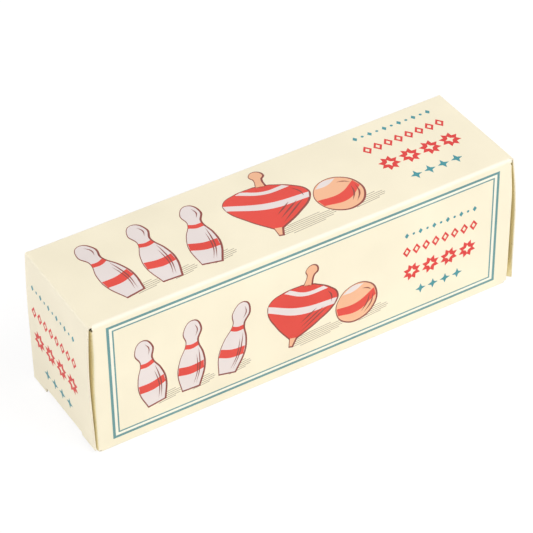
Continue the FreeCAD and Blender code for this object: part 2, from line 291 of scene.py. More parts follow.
def draw_with(reach, move):
    """Moves what is selected, and smoothly draws along what lies within reach."""
    bpy.ops.transform.translate(
        value=move, use_proportional_edit=True, proportional_edit_falloff="SMOOTH", proportional_size=reach
    )


def lift_corner():
    """Lifts the open piece at the carton's upper right front corner, which the closure pushes up."""
    corner = Vector((SLEEVE_END, -SIDE_Y, TOP_Z))
    pick("VERT", lambda v: abs(v.co.x - corner.x) < CLOSE_BY and (v.co - corner).length < LIFT_CORNER)
    draw_with(LIFT_REACH, (0, 0, LIFT))


printed_card = varnished_print("printed_card", (252, 245, 219))
# Lighter, whiter card for the long creases: partly wear, partly a painted highlight standing in for sheen.
worn_crease_and_sheen = varnished_print("worn_crease_and_sheen", (253, 247, 228))
plain_card = raw_board("plain_card", (254, 242, 195), (186, 160, 112))
cut_edge = raw_board("cut_board_edge", (248, 241, 220), (190, 172, 138))

sleeve = start_block("carton_sleeve", (-SLEEVE_END, -SIDE_Y, 0), (SLEEVE_END, SIDE_Y, TOP_Z))
pick("FACE", lambda f: abs(f.normal.x) > ALIGNED)
bpy.ops.mesh.delete(type="FACE")
soft_crease = Vector((0, -SIDE_Y, TOP_Z))
for soft, crease_round in ((False, CREASE_ROUND), (True, SOFT_ROUND)):
    pick("EDGE", lambda e: runs_along(e, 0) and ((middle(e) - soft_crease).length < NEAR) == soft)
    bpy.ops.mesh.bevel(offset=crease_round, segments=CREASE_STEPS, profile=CREASE_FULLNESS, affect="EDGES")
pick("EDGE", lambda e: runs_along(e, 0))
bpy.ops.mesh.subdivide(number_cuts=SLEEVE_COLUMNS - 1)
pick("EDGE", lambda e: (runs_along(e, 1) or runs_along(e, 2)) and e.calc_length() > WALL_EDGE)
bpy.ops.mesh.subdivide(number_cuts=SWELL_ROWS)
for axis, place, swell in ((2, TOP_Z, SWELL_TOP), (1, -SIDE_Y, -SWELL_SIDE), (1, SIDE_Y, SWELL_SIDE)):
    across = 3 - axis
    centre = (0, TOP_Z / 2)[across - 1]
    half = (SIDE_Y, TOP_Z / 2)[across - 1] - CREASE_ROUND
    for row in range(1, SWELL_ROWS + 1):
        level = 2 * row / (SWELL_ROWS + 1) - 1
        for step in range(SWELL_COLUMNS):
            held = (step + 0.5) * 2 * SLEEVE_END / SLEEVE_COLUMNS
            share = (1 - step / SWELL_COLUMNS) ** 2 - (1 - (step + 1) / SWELL_COLUMNS) ** 2
            pick(
                "VERT",
                lambda v: abs(v.co[axis] - place) < abs(swell) + NEAR
                and abs(v.co[across] - centre - level * half) < SOFT_ROUND
                and abs(v.co.x) < SLEEVE_END - held,
            )
            move = [0, 0, 0]
            move[axis] = swell * share * (1 - level * level)
            bpy.ops.transform.translate(value=move)
lift_corner()
for side in (-1, 1):
    pick("EDGE", lambda e: abs(middle(e).x - side * SLEEVE_END) < NEAR and middle(e).z < NEAR)
    bpy.ops.mesh.extrude_region_move(TRANSFORM_OT_translate={"value": (side * CREASE_STRIP, 0, 0)})
    for turn, crease_round in ((-1, SOFT_ROUND), (1, CREASE_ROUND)):
        crease = Vector((side * SLEEVE_END, turn * (SIDE_Y - crease_round), TOP_Z - crease_round))
        pick(
            "EDGE",
            lambda e: abs(middle(e).x - crease.x) < NEAR
            and middle(e).y * turn > crease.y * turn
            and middle(e).z > crease.z,
        )
        bpy.ops.mesh.extrude_region_move(TRANSFORM_OT_translate={"value": (side * CORNER_REACH, 0, 0)})
close(sleeve, printed_card, plain_card, cut_edge, worn_crease_and_sheen)
make_board(sleeve)
# Faces turned between two walls, on the long creases, take the lighter card: wear and painted highlight.
for face in sleeve.data.polygons:
    if face.material_index == PRINTED and min(abs(face.normal.y), abs(face.normal.z)) > WORN_AND_SHEEN_TURN:
        face.material_index = WORN_AND_SHEEN
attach(sleeve, "carton")
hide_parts("front_wall", "top_wall", "back_wall", "bottom_wall")

glue_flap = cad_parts["glue_flap"]
glue_flap.data.materials.clear()
glue_flap.data.materials.append(plain_card)

# Each closure is a panel that hangs from its crease on the top wall. Its folded strip bends with the crease,
# the panel springs out a little, and its two shoulders reach below the fold that its tuck flap hangs on.
# The left one also gapes at its front edge, and the right one curls outwards at its lower front corner.
TUCK_FOLD = 26 * MM
FOLD_ROUND, FOLD_STEPS = 0.8 * MM, 6
CREASE_WIDTH = SIDE_Y - 1.2 * MM
SHOULDER_Z = {-1: 0.35 * MM, 1: 1.3 * MM}
SHOULDER_RISE = {-1: 1.15 * MM, 1: 0.3 * MM}
SPRING = {-1: 0.72 * MM, 1: 2.45 * MM}
SPRING_REACH = {-1: 26 * MM, 1: 30 * MM}
FOLD_START_Z = 2.6 * MM
PANEL_ROWS, ROW_SPACING = 22, 1.3
CORNER_CUT = 1.8 * MM
GAPE, GAPE_Z, GAPE_EDGE, GAPE_REACH = 0.85 * MM, 34 * MM, 1.5 * MM, 48 * MM
CURL, CURL_WIDTH, CURL_Z = 1.0 * MM, 1.0 * MM, 8.5 * MM


def start_line(name, points):
    """Starts a piece as one vertex that is pulled through points, and leaves the line open for modelling."""
    bpy.ops.object.select_all(action="DESELECT")
    bpy.ops.mesh.primitive_plane_add(size=1)
    piece = bpy.context.object
    piece.name = piece.data.name = name
    edit(piece)
    bpy.ops.mesh.select_mode(type="VERT")
    bpy.ops.mesh.select_all(action="SELECT")
    bpy.ops.mesh.merge(type="CENTER")
    bpy.ops.transform.translate(value=points[0])
    pull_through(points)
    return piece


def pull_through(points):
    """Extrudes what is selected from each point to the next."""
    for here, there in zip(points, points[1:]):
        bpy.ops.mesh.extrude_region_move(TRANSFORM_OT_translate={"value": Vector(there) - Vector(here)})


def face_out(direction, where):
    """Turns the open sheet's faces so that the one nearest a point looks along a direction."""
    bpy.ops.mesh.select_mode(type="FACE")
    bpy.ops.mesh.select_all(action="SELECT")
    bpy.ops.mesh.normals_make_consistent(inside=False)
    mesh = bmesh.from_edit_mesh(bpy.context.object.data)
    nearest = min(mesh.faces, key=lambda face: (middle(face) - Vector(where)).length)
    nearest.normal_update()
    if nearest.normal.dot(Vector(direction)) < 0:
        bpy.ops.mesh.flip_normals()


def cut_off(point, normal):
    """Cuts away what lies beyond a plane."""
    bpy.ops.mesh.select_all(action="SELECT")
    bpy.ops.mesh.bisect(plane_co=point, plane_no=normal, clear_outer=True)


def draw_out(held, drawn, reach, move):
    """Draws out what passes the second test, with what lies near it, while what passes the first stays."""
    pick("VERT", held)
    bpy.ops.mesh.hide()
    pick("VERT", lambda v: not v.hide and drawn(v))
    draw_with(reach, move)
    bpy.ops.mesh.reveal()


def fold_arc(radius):
    """The points of a quarter turn round a fold, as sine and cosine times its radius."""
    angles = [math.pi / 2 * step / FOLD_STEPS for step in range(FOLD_STEPS + 1)]
    return [(radius * math.sin(angle), radius * math.cos(angle)) for angle in angles]


def spring(side, z):
    """How far a closure stands out from the carton's end at a height."""
    down = min(1.0, max(0.0, (TOP_Z - FOLD_ROUND - z) / SPRING_REACH[side]))
    return SPRING[side] * (1 - (1 - down) ** 2)


def closure_section(side):
    """The closure's outer face seen from the front: along the top, round the crease and down."""
    points = [(side * SLEEVE_END, TOP_Z)]
    for out, rise in fold_arc(FOLD_ROUND):
        points.append((side * (END_X - FOLD_ROUND + out), TOP_Z - FOLD_ROUND + rise))
    for row in range(1, PANEL_ROWS + 1):
        z = TOP_Z - FOLD_ROUND - (TOP_Z - FOLD_ROUND - FOLD_START_Z) * (row / PANEL_ROWS) ** ROW_SPACING
        points.append((side * (END_X + spring(side, z)), z))
    points.append((side * (END_X + spring(side, SHOULDER_Z[side])), SHOULDER_Z[side]))
    return points


CLOSURE_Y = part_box("left_closure_panel")[1].y
closures = {}
for end, side in (("left", -1), ("right", 1)):
    section = [Vector((x, -CLOSURE_Y, z)) for x, z in closure_section(side)]
    closure = start_line(f"{end}_closure", section)
    bpy.ops.mesh.select_all(action="SELECT")
    columns = [share * TUCK_FOLD for share in (-0.5, -0.25, 0, 0.25, 0.5)]
    outer = (CLOSURE_Y + TUCK_FOLD / 2) / 2
    pull_through([(0, y, 0) for y in (-CLOSURE_Y, -outer, *columns, outer, CLOSURE_Y)])
    pick("FACE", lambda f: abs(middle(f).y) < TUCK_FOLD / 2 and middle(f).z < FOLD_START_Z)
    bpy.ops.mesh.delete(type="FACE")
    pick("VERT", lambda v: v.co.y < 0 and v.co.z < SHOULDER_Z[side] + CLOSE_BY)
    bpy.ops.transform.translate(value=(0, 0, SHOULDER_RISE[side]))
    if side < 0:
        draw_out(
            lambda v: abs(v.co.x) < END_X - FOLD_ROUND + CLOSE_BY,
            lambda v: v.co.y < -CLOSURE_Y + CLOSE_BY and abs(v.co.z - GAPE_Z) < GAPE_EDGE,
            GAPE_REACH,
            (-GAPE, 0, 0),
        )
    else:
        lift_corner()
        pick("VERT", lambda v: abs(v.co.y + outer) < CLOSE_BY and v.co.z < CURL_Z)
        bpy.ops.transform.translate(value=(-CURL, CURL_WIDTH - CLOSURE_Y + outer, 0))
    for edge_y in (-1, 1):
        slope = (0, edge_y * CORNER_CUT, CLOSURE_Y - CREASE_WIDTH)
        cut_off((0, edge_y * CREASE_WIDTH, TOP_Z), slope)
    face_out((0, 0, 1), (side * SLEEVE_END, 0, TOP_Z))
    close(closure, printed_card, plain_card, cut_edge)
    make_board(closure)
    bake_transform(closure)
    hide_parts(f"{end}_closure_panel")
    closures[side] = closure

# The tuck flaps fold in under the closures and slide in above the bottom wall. The crease is only as wide
# as the fold, because the flap is slit from both sides there to catch on the dust flaps. Its free corners
# are round.
TUCK_ROUND = 0.75 * MM
TUCK_CORNER, TUCK_CORNER_STEPS = 7 * MM, 8
WING_BACK, WING_EDGE = 0.9 * MM, 5 * MM
for end, side in (("left", -1), ("right", 1)):
    low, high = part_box(f"{end}_tuck_flap")
    panel_x = END_X + spring(side, FOLD_START_Z)
    base_z = low.z
    section = [(panel_x, FOLD_START_Z)]
    for fall, out in fold_arc(TUCK_ROUND):
        section.append((panel_x - TUCK_ROUND + out, base_z + TUCK_ROUND - fall))
    wing_x = END_X - WING_BACK
    free_x = min(abs(low.x), abs(high.x))
    section += [(wing_x, base_z), (free_x, base_z)]
    tuck = start_line(f"{end}_tuck", [Vector((side * x, -TUCK_FOLD / 2, z)) for x, z in section])
    bpy.ops.mesh.select_all(action="SELECT")
    pull_through([(0, -TUCK_FOLD / 2, 0), (0, TUCK_FOLD / 2, 0)])
    for wing in (-1, 1):
        pick(
            "EDGE",
            lambda e: runs_along(e, 0)
            and e.calc_length() > WING_EDGE
            and abs(middle(e).y - wing * TUCK_FOLD / 2) < NEAR,
        )
        pull_through([(0, wing * TUCK_FOLD / 2, 0), (0, wing * high.y, 0)])
    pick("VERT", lambda v: abs(v.co.x - side * free_x) < NEAR and abs(v.co.y) > TUCK_FOLD / 2 + MM)
    bpy.ops.mesh.bevel(offset=TUCK_CORNER, segments=TUCK_CORNER_STEPS, affect="VERTICES")
    face_out((0, 0, -1), (side * (free_x + wing_x) / 2, 0, base_z))
    close(tuck, printed_card, plain_card, cut_edge)
    make_board(tuck)
    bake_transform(tuck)
    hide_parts(f"{end}_tuck_flap")

# Four dust flaps close the ends behind the closures. Each turns in on its crease with the front or back
# wall, where the print ends. Its head is cut slanting at the crease and slopes down to the free edge, so
# that the closure can swing past it. The front ones bulge out a little, against the closures.
DUST_ROUND = 0.65 * MM
PRINT_TURN = {"left": 0.4, "right": 0.55}
DUST_ROOT_TAPER = 1.6 * MM
DUST_COLUMNS, DUST_ROWS = (0, 0.15, 0.35, 0.6, 1), 14
DUST_HEAD, DUST_FOOT = 0.5 * MM, 1.3 * MM
DUST_DROP, DUST_RISE = 14 * MM, 2 * MM
CORNER_IN = 1.6 * MM
HEAD_SLANT, HEAD_CORNER_SLANT, FOOT_CORNER_SLANT = 1.6, 0.55, -0.8
# A bulge, in millimetres: how far out it goes, its lowest and highest point, and how far it draws the card.
BULGES = {"left": (0.75, -2, 25, 22), "right": (0.95, 4, 39, 15)}
for end, side in (("left", -1), ("right", 1)):
    for wall, turn in (("front", -1), ("back", 1)):
        low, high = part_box(f"{end}_{wall}_dust_flap")
        face_x = max(abs(low.x), abs(high.x))
        free_y = min(abs(low.y), abs(high.y))
        section = [(SLEEVE_END, SIDE_Y)]
        for out, back in fold_arc(DUST_ROUND):
            section.append((face_x - DUST_ROUND + out, SIDE_Y - DUST_ROUND + back))
        root_y = SIDE_Y - DUST_ROUND - DUST_ROOT_TAPER
        section += [(face_x, root_y + (free_y - root_y) * share) for share in DUST_COLUMNS]
        dust = start_line(f"{end}_{wall}_dust", [Vector((side * x, turn * y, low.z)) for x, y in section])
        bpy.ops.mesh.select_all(action="SELECT")
        tall = high.z + DUST_HEAD - low.z
        pull_through([(0, 0, low.z + tall * n / DUST_ROWS) for n in range(DUST_ROWS + 1)])
        across = root_y - free_y
        cut_off((side * SLEEVE_END, 0, high.z + DUST_HEAD), (side * HEAD_SLANT, 0, 1))
        cut_off((0, turn * root_y, high.z), (0, -turn * DUST_DROP, across))
        cut_off((0, turn * root_y, low.z), (0, -turn * DUST_RISE, -across))
        corner_y = turn * (free_y + CORNER_IN)
        cut_off((0, corner_y, high.z - DUST_DROP), (0, -turn, HEAD_CORNER_SLANT))
        cut_off((0, corner_y, low.z + DUST_RISE), (0, -turn, FOOT_CORNER_SLANT))
        pick("VERT", lambda v: abs(v.co.y) > root_y + CLOSE_BY and v.co.z < low.z + CLOSE_BY)
        bpy.ops.transform.translate(value=(0, 0, -DUST_FOOT))
        if wall == "front":
            push, foot, head, reach = [value * MM for value in BULGES[end]]
            draw_out(
                lambda v: abs(v.co.x) < SLEEVE_END + NEAR,
                lambda v: abs(v.co.y) > root_y and foot < v.co.z < head,
                reach,
                (side * push, 0, 0),
            )
        face_out((side, 0, 0), (side * face_x, turn * (free_y + root_y) / 2, TOP_Z / 2))
        close(dust, printed_card, plain_card, cut_edge)
        make_board(dust)
        for face in dust.data.polygons:
            if face.normal.x * side > PRINT_TURN[end] and face.material_index == PRINTED:
                face.material_index = PLAIN
        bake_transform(dust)
        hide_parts(f"{end}_{wall}_dust_flap")

# The print on the card is flat ink under the varnish. The front and back carry a double frame line, a
# picture of old parlour toys and a block of four rows of ornament. The top has the same with no frame, and
# the ends have the block alone.
INK_FILM, INK_STEP, INK_GAP = 0.012 * MM, 0.014 * MM, 0.003 * MM
INK_ABOVE = 3 * MM
GRID, ON_GRID, DOUBLE = 4 * MM, 0.001 * MM, 0.002 * MM
CURVE_STEPS, DISC_POINTS = 8, 8


def panel_matrix(corner, across, down):
    """Carries a drawing, in metres across and up from a panel's upper left corner, to that panel."""
    across, up = Vector(across), -Vector(down)
    turn = Matrix((across, up, across.cross(up))).transposed().to_4x4()
    return Matrix.Translation(Vector(corner)) @ turn


PANELS = {
    "front": (sleeve, "carton", (-END_X, -SIDE_Y, TOP_Z), (1, 0, 0), (0, 0, -1)),
    "back": (sleeve, "carton", (END_X, SIDE_Y, TOP_Z), (-1, 0, 0), (0, 0, -1)),
    "top": (sleeve, "carton", (-END_X, SIDE_Y, TOP_Z), (1, 0, 0), (0, -1, 0)),
    "left": (closures[-1], "left_closure", (-END_X, SIDE_Y, TOP_Z), (0, -1, 0), (0, 0, -1)),
    "right": (closures[1], "right_closure", (END_X, -SIDE_Y, TOP_Z), (0, 1, 0), (0, 0, -1)),
}


def lay_ink(panel, name, shapes, ink, level=0, grow=0.0):
    """Prints closed shapes on a panel: a flat film that follows the card, a step up for each level below it.

    A shape is a list of points (across, up) in millimetres. A point with a third value is a corner, and the
    others are round. A shape inside another is a hole in it.
    """
    target, body, corner, across, down = PANELS[panel]
    drawing = bpy.data.curves.new(f"{panel}_{name}", "CURVE")
    drawing.dimensions = "2D"
    drawing.fill_mode = "BOTH"
    drawing.resolution_u = CURVE_STEPS
    drawing.offset = grow
    for shape in shapes:
        line = drawing.splines.new("BEZIER")
        line.bezier_points.add(len(shape) - 1)
        for point, place in zip(line.bezier_points, shape):
            point.co = (place[0], place[1], 0)
            point.handle_left_type = point.handle_right_type = "VECTOR" if len(place) > 2 else "AUTO"
        line.use_cyclic_u = True
    film = bpy.data.objects.new(drawing.name, drawing)
    bpy.context.scene.collection.objects.link(film)
    choose(film)
    bpy.ops.object.convert(target="MESH")
    film = bpy.context.object
    film.data.transform(Matrix.Scale(MM, 4))
    edit(film)
    bpy.ops.mesh.select_all(action="SELECT")
    bpy.ops.mesh.remove_doubles(threshold=DOUBLE)
    for axis in (0, 1):
        places = [point[axis] * MM for shape in shapes for point in shape]
        line = (math.floor(min(places) / GRID) + 1) * GRID
        while line < max(places):
            bpy.ops.mesh.select_all(action="SELECT")
            cut = [0, 0, 0]
            cut[axis] = 1
            bpy.ops.mesh.bisect(plane_co=[line * v for v in cut], plane_no=cut, threshold=ON_GRID)
            line += GRID
    bpy.ops.object.mode_set(mode="OBJECT")
    outwards = Vector(across).cross(-Vector(down))
    film.data.transform(Matrix.Translation(outwards * INK_ABOVE) @ panel_matrix(corner, across, down))
    axis = max(range(3), key=lambda i: abs(outwards[i]))
    apply_modifier(
        film,
        "SHRINKWRAP",
        "lie_on_card",
        target=target,
        wrap_method="PROJECT",
        wrap_mode="ABOVE_SURFACE",
        use_project_x=axis == 0,
        use_project_y=axis == 1,
        use_project_z=axis == 2,
        use_positive_direction=outwards[axis] < 0,
        use_negative_direction=outwards[axis] > 0,
        offset=INK_STEP * level + INK_GAP,
    )
    apply_modifier(film, "SOLIDIFY", "ink", thickness=INK_FILM, offset=1)
    bpy.ops.object.shade_smooth_by_angle(angle=REAL_EDGE)
    film.data.materials.append(ink)
    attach(film, body)


def box_shape(left, bottom, right, top):
    return [(left, bottom, 1), (right, bottom, 1), (right, top, 1), (left, top, 1)]


def diamond(across, up, half_wide, half_high):
    return [
        (across + half_wide, up, 1),
        (across, up + half_high, 1),
        (across - half_wide, up, 1),
        (across, up - half_high, 1),
    ]


def disc(across, up, radius):
    turns = [2 * math.pi * n / DISC_POINTS for n in range(DISC_POINTS)]
    return [(across + radius * math.cos(a), up + radius * math.sin(a)) for a in turns]


def star(across, up, outer, inner, points, turn=0.0):
    made = []
    for n in range(2 * points):
        radius = inner if n % 2 else outer
        angle = turn + math.pi * n / points
        made.append((across + radius * math.cos(angle), up + radius * math.sin(angle), 1))
    return made


def both_sides(half):
    """A shape that is the same left and right, from the points of its right side, bottom to top."""
    return list(half) + [(-p[0],) + tuple(p[1:]) for p in reversed(half) if p[0] > 0]


def set_down(shape, across, up, size=1.0, lean=0.0):
    """Sizes, leans and places a drawn shape."""
    cos, sin = math.cos(math.radians(lean)), math.sin(math.radians(lean))
    made = []
    for point in shape:
        x, y = point[0] * size, point[1] * size
        made.append((across + x * cos + y * sin, up - x * sin + y * cos) + tuple(point[2:]))
    return made


frame_teal = varnished_print("frame_teal_ink", (101, 155, 158), drift=9)
ivory = varnished_print("ivory_ink", (254, 251, 234), drift=3)
row_teal = varnished_print("row_teal_ink", (58, 150, 160), drift=9)
row_red = varnished_print("row_red_ink", (226, 48, 44), drift=9)
toy_red = varnished_print("toy_red_ink", (232, 68, 54), drift=9)
toy_peach = varnished_print("toy_peach_ink", (249, 192, 152), drift=6)
toy_white = varnished_print("toy_white_ink", (238, 229, 227), drift=5)
line_brown = varnished_print("line_brown_ink", (141, 62, 52), drift=9)
hatch_grey = varnished_print("hatch_grey_ink", (168, 158, 138), drift=9)

WIDE, HIGH = LENGTH / MM, TOP_Z / MM
FRAME_SIDE, FRAME_TOP, FRAME_FOOT = 5.85, 2.58, 3.8
OUTER_LINE, INNER_STEP, INNER_LINE = 1.0, 2.03, 0.55
# The figures in the rows of ornament, in millimetres: how many, from one to the next, and their halves.
BEADS, BEAD_STEP, BEAD_DOT, BEAD_DIAMOND = 11, 2.8, 0.5, (0.85, 1.15)
DIAMONDS, DIAMOND_STEP, DIAMOND_RIM, DIAMOND_EYE = 8, 3.95, (1.65, 2.25), (0.75, 1.05)
STARS, STAR_STEP, STAR_RIM, STAR_EYE = 4, 7.7, (3.75, 2.3), (1.75, 0.8)
SPARKS, SPARK_STEP, SPARK = 4, 5.1, (2.15, 0.85)


def frame_lines(panel):
    """The double frame line, with the paler band between its two lines."""

    def ring(step, width):
        low = (FRAME_SIDE + step, -HIGH + FRAME_FOOT + step)
        high = (WIDE - FRAME_SIDE - step, -FRAME_TOP - step)
        inside = (low[0] + width, low[1] + width, high[0] - width, high[1] - width)
        return [box_shape(*low, *high), box_shape(*inside)]

    lay_ink(panel, "frame_lines", ring(0, OUTER_LINE) + ring(INNER_STEP, INNER_LINE), frame_teal)
    lay_ink(panel, "frame_band", ring(OUTER_LINE, INNER_STEP - OUTER_LINE), ivory)


def ornament_rows(panel, across, downs, size=1.0):
    """Four rows of ornament: small teal, middling red, large red and middling teal."""
    first, second, third, fourth = downs
    teal, red = [], []

    def row(count, step):
        return [across + (n - (count - 1) / 2) * step * size for n in range(count)]

    def sized(halves):
        return [half * size for half in halves]

    for n, place in enumerate(row(BEADS, BEAD_STEP)):
        dot = disc(place, -first, BEAD_DOT * size)
        teal.append(dot if n % 2 else diamond(place, -first, *sized(BEAD_DIAMOND)))
    for place in row(DIAMONDS, DIAMOND_STEP):
        red.append(diamond(place, -second, *sized(DIAMOND_RIM)))
        red.append(diamond(place, -second, *sized(DIAMOND_EYE)))
    for place in row(STARS, STAR_STEP):
        red.append(star(place, -third, *sized(STAR_RIM), 8, math.pi / 8))
        red.append(star(place, -third, *sized(STAR_EYE), 4))
    for place in row(SPARKS, SPARK_STEP):
        teal.append(star(place, -fourth, *sized(SPARK), 4))
    lay_ink(panel, "teal_rows", teal, row_teal)
    lay_ink(panel, "red_rows", red, row_red)


SKITTLE = both_sides([(3.1, 0, 1), (4.9, 8), (4.2, 13.5), (2.0, 20), (3.1, 25), (0, 28.8)])
SKITTLE_NECK = [(-2.6, 17.6, 1), (0, 17.0), (2.6, 17.6, 1), (2.15, 19.4, 1), (0, 18.9), (-2.15, 19.4, 1)]
SKITTLE_BELT = [(-4.85, 7.0, 1), (0, 6.2), (4.85, 7.0, 1), (4.75, 10.4, 1), (0, 9.7), (-4.75, 10.4, 1)]
TOP_BODY = both_sides([(1.4, 3.4, 1), (8.2, 9.2), (13.7, 16.4), (13.6, 19.6), (9.5, 22.8), (2.6, 25.0, 1)])
TOP_PEG = [(-0.5, 0, 1), (0.5, 0, 1), (1.3, 3.9, 1), (-1.3, 3.9, 1)]
TOP_HANDLE = both_sides([(1.5, 24.6, 1), (1.15, 29.0), (2.2, 31.0), (0, 33.0)])
TOP_BELT = [(-13.6, 15.6, 1), (0, 13.0), (13.6, 15.6, 1), (14.1, 18.2, 1), (0, 16.0), (-14.1, 18.2, 1)]
TOP_RING = [(-9.0, 22.7, 1), (0, 20.6), (9.0, 22.7, 1), (6.9, 23.8, 1), (0, 22.2), (-6.9, 23.8, 1)]
BALL = disc(across=0, up=8, radius=8)
BALL_BELT = [(-7.75, 9.8, 1), (0, 7.7), (7.75, 9.8, 1), (7.8, 6.4, 1), (0, 3.7), (-7.8, 6.4, 1)]
BALL_CAP = [(-4.4, 14.4, 1), (0, 13.4), (4.4, 14.4, 1), (0, 15.85)]
SKITTLE_SHADE = [
    [(2.0, 1.2, 1), (3.45, 7.2), (3.3, 12.4), (2.6, 16.4, 1), (2.95, 12.4), (3.05, 7.2)],
    [(1.0, 1.2, 1), (2.5, 6.0), (2.5, 10.4), (1.9, 14.2, 1), (2.2, 10.4), (2.15, 6.0)],
    [(1.35, 22.0, 1), (2.2, 24.6), (0.9, 27.2, 1), (1.8, 24.6)],
]
TOP_SHADE = [
    [(2.6, 5.6, 1), (8.2, 11.4), (11.4, 15.2, 1), (7.8, 11.8)],
    [(2.0, 7.4, 1), (6.6, 11.9), (9.4, 15.2, 1), (6.2, 12.3)],
    [(1.4, 9.4, 1), (4.8, 12.6), (6.6, 15.0, 1), (4.4, 13.0)],
    [(12.2, 16.6, 1), (11.6, 19.6), (9.2, 21.6, 1), (11.2, 19.3)],
]
BALL_SHADE = [
    [(1.6, 1.2, 1), (5.6, 4.0), (7.0, 8.0, 1), (5.2, 4.4)],
    [(0.8, 2.4, 1), (4.2, 5.0), (5.6, 8.4, 1), (3.8, 5.4)],
    [(3.2, 12.6, 1), (5.6, 11.4), (6.6, 9.6, 1), (5.3, 11.1)],
]
# Where each toy stands and leans, and its shadow: where it lies, its half width and its pen lines.
PINS = ((6, -9), (19, 3), (33, 14))
TOP_AT, BALL_AT = (58, 16), (86, -12)
PIN_SHADOW, TOP_SHADOW, BALL_SHADOW = (4, 5.5, 5), (10, 11, 6), (4, 7.5, 5)
SHADOW_UP, HATCH_STEP = 0.6, 0.42
HATCH_LINE = ((-1, -0.12), (1, 0.5), (1, 0.74), (-1, 0.12))
OUTLINE_ASIDE, OUTLINE_UP, OUTLINE_GROWS = 0.18, -0.16, 0.5


def hatching(across, up, half_wide, lines):
    """A shadow drawn as slanting pen lines inside a flat oval."""
    made = []
    for n in range(lines):
        level = (n + 0.5) / lines * 2 - 1
        reach = half_wide * math.sqrt(1 - level * level)
        height = up + level * HATCH_STEP * lines
        made.append([(across + end * reach, height + rise, 1) for end, rise in HATCH_LINE])
    return made


def toy_picture(panel, left, foot, size=1.0):
    """Three skittles, a spinning top and a striped ball, in a row, each with its hatched shadow."""

    def draw(toy, *shapes):
        return [set_down(shape, left + toy[0] * size, foot, size, toy[1]) for shape in shapes]

    def shadow(toy, aside, half_wide, lines):
        across = left + toy[0] * size + aside * size
        return hatching(across, foot + SHADOW_UP * size, half_wide * size, lines)

    def outline(shapes):
        return [set_down(shape, OUTLINE_ASIDE, OUTLINE_UP) for shape in shapes]

    white, belts, shadows, shades = [], [], [], []
    for pin in PINS:
        white += draw(pin, SKITTLE)
        belts += draw(pin, SKITTLE_NECK, SKITTLE_BELT)
        shades += draw(pin, *SKITTLE_SHADE)
        shadows += shadow(pin, *PIN_SHADOW)
    belts += draw(BALL_AT, BALL_BELT)
    shades += draw(TOP_AT, *TOP_SHADE) + draw(BALL_AT, *BALL_SHADE)
    shadows += shadow(TOP_AT, *TOP_SHADOW) + shadow(BALL_AT, *BALL_SHADOW)
    red = draw(TOP_AT, TOP_BODY)
    peach = draw(TOP_AT, TOP_PEG, TOP_HANDLE) + draw(BALL_AT, BALL)
    bands = draw(TOP_AT, TOP_BELT, TOP_RING) + draw(BALL_AT, BALL_CAP)
    lay_ink(panel, "shadow_hatching", shadows, hatch_grey)
    lay_ink(panel, "toy_outlines", outline(white + red), line_brown, 1, OUTLINE_GROWS)
    lay_ink(panel, "peach_outlines", outline(peach), line_brown, 1, OUTLINE_GROWS)
    lay_ink(panel, "toy_white", white, toy_white, 2)
    lay_ink(panel, "toy_red", red, toy_red, 2)
    lay_ink(panel, "toy_peach", peach, toy_peach, 2)
    lay_ink(panel, "toy_red_belts", belts, toy_red, 3)
    lay_ink(panel, "toy_white_bands", bands, toy_white, 3)
    lay_ink(panel, "toy_shading", shades, line_brown, 4)


for panel in ("front", "back"):
    frame_lines(panel)
    toy_picture(panel, left=16.6, foot=-42.6)
    ornament_rows(panel, across=135.2, downs=(14.75, 21.9, 31.4, 40.6))
toy_picture("top", left=14.5, foot=-37.5, size=1.06)
ornament_rows("top", across=140, downs=(6.6, 14.25, 24.4, 34.5), size=1.08)
for panel in ("left", "right"):
    ornament_rows(panel, across=19.9, downs=(11.6, 22.0, 33.1, 45.0), size=1.06)

# The pipe's bowl is turned from one piece of beech: a cup under a wide brim, dipped in red lacquer. It is
# drilled down its middle for the air, from the side for the stem, and in its brim for the three posts.
BOWL_LOW, BOWL_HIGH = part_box("pipe_bowl")
STEM_LOW, STEM_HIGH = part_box("pipe_stem")
BOWL_X = (BOWL_LOW.x + BOWL_HIGH.x) / 2
BRIM_RADIUS = (BOWL_HIGH.x - BOWL_LOW.x) / 2 / MM
BOWL_TALL = (BOWL_HIGH.z - BOWL_LOW.z) / MM
STEM_Z = (STEM_LOW.z + STEM_HIGH.z) / 2
STEM_RADIUS = (STEM_HIGH.z - STEM_LOW.z) / 2 / MM
CUP_RADIUS, BRIM_TALL, CUP_FOOT, BRIM_EDGE, BRIM_NECK = 11.7, 7.2, 4.0, 2.2, 1.5
AIR_WAY, NOZZLE_HOLE, NOZZLE_SEAT = 1.7, 2.53, 4.0
TURNS_ROUND, EDGE_STEPS = 112, 6
DRILL_SIDES, DRILL_OUTSIDE, HOLE_SLACK = 48, 1, 0.03
POST_HOLE = 2.28


def rounded(corners):
    """A lathe profile from corners, each (out from the axis, along it, rounding), in millimetres."""
    made = []
    for n, (out, along, rounding) in enumerate(corners):
        here = Vector((out, along))
        if not rounding:
            made.append(here)
            continue
        before = (Vector(corners[n - 1][:2]) - here).normalized()
        after = (Vector(corners[n + 1][:2]) - here).normalized()
        half = before.angle(after) / 2
        hub = here + (before + after).normalized() * rounding / math.sin(half)
        first = here + before * rounding / math.tan(half) - hub
        last = here + after * rounding / math.tan(half) - hub
        made += [hub + first.slerp(last, step / EDGE_STEPS) for step in range(EDGE_STEPS + 1)]
    return made


def turn_piece(name, corners, base, axis):
    """Turns a piece on the lathe, round an axis of the frame that starts from a base point."""
    axis, base = Vector(axis), Vector(base)
    out = Vector((0, -1, 0))
    points = [base + out * p.x * MM + axis * p.y * MM for p in rounded(corners)]
    piece = start_line(name, points)
    bpy.ops.mesh.select_all(action="SELECT")
    bpy.ops.mesh.spin(steps=TURNS_ROUND, angle=2 * math.pi, center=base, axis=axis)
    bpy.ops.mesh.select_all(action="SELECT")
    bpy.ops.mesh.remove_doubles(threshold=2 * DOUBLE)
    bpy.ops.mesh.normals_make_consistent(inside=False)
    return piece


